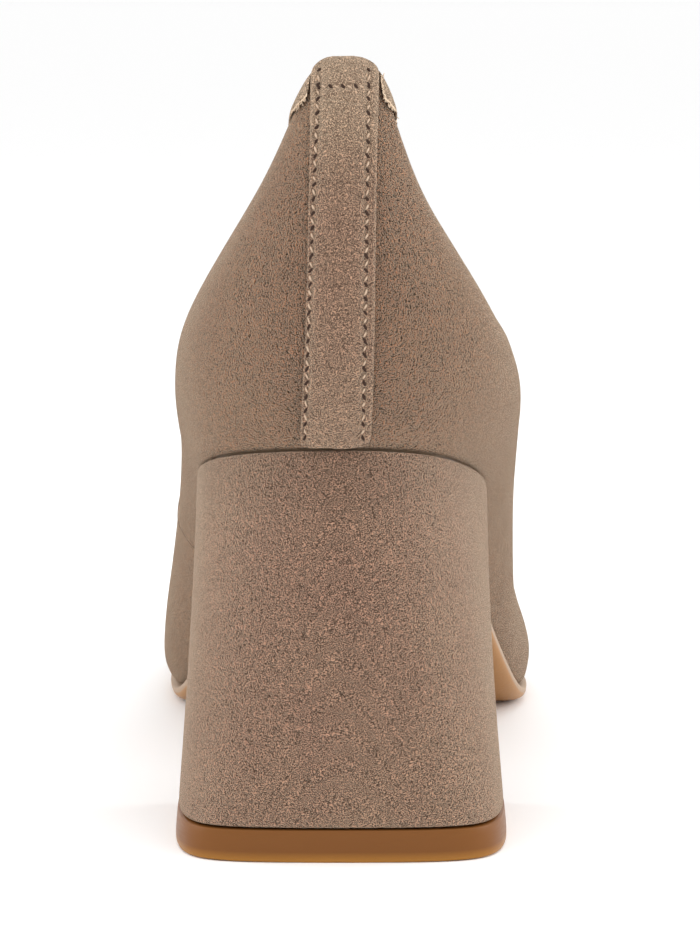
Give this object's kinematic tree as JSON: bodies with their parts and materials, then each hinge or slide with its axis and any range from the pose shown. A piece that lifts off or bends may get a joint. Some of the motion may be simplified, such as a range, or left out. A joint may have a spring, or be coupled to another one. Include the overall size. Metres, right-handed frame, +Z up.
{
  "type": "block heel pump",
  "caption": "Women's suede block heel pump for the right foot, with a covered heel, a sewn back strip and a bound topline, standing empty.",
  "frame": {"origin": "centre of the top lift's bottom face, on the floor under the heel", "axes": "+Y from the heel to the toe, +Z up, +X to the outer side of the foot, which is to the right seen from behind"},
  "size_m": [0.0789, 0.242, 0.1405],
  "materials": {
    "suede": "napped, taupe brown",
    "suede_strip": "napped, taupe brown, stitched",
    "binding": "smoother, paler suede with raw edges",
    "sock": "smooth, satin",
    "outsole": "caramel, semi-gloss",
    "lift": "caramel, semi-gloss"
  },
  "bodies": {
    "root": {"upper": "suede", "back_strip": "suede_strip", "collar_binding": "binding", "insole": "sock", "outsole": "outsole", "heel_block": "suede", "top_lift": "lift"}
  },
  "joints": []
}
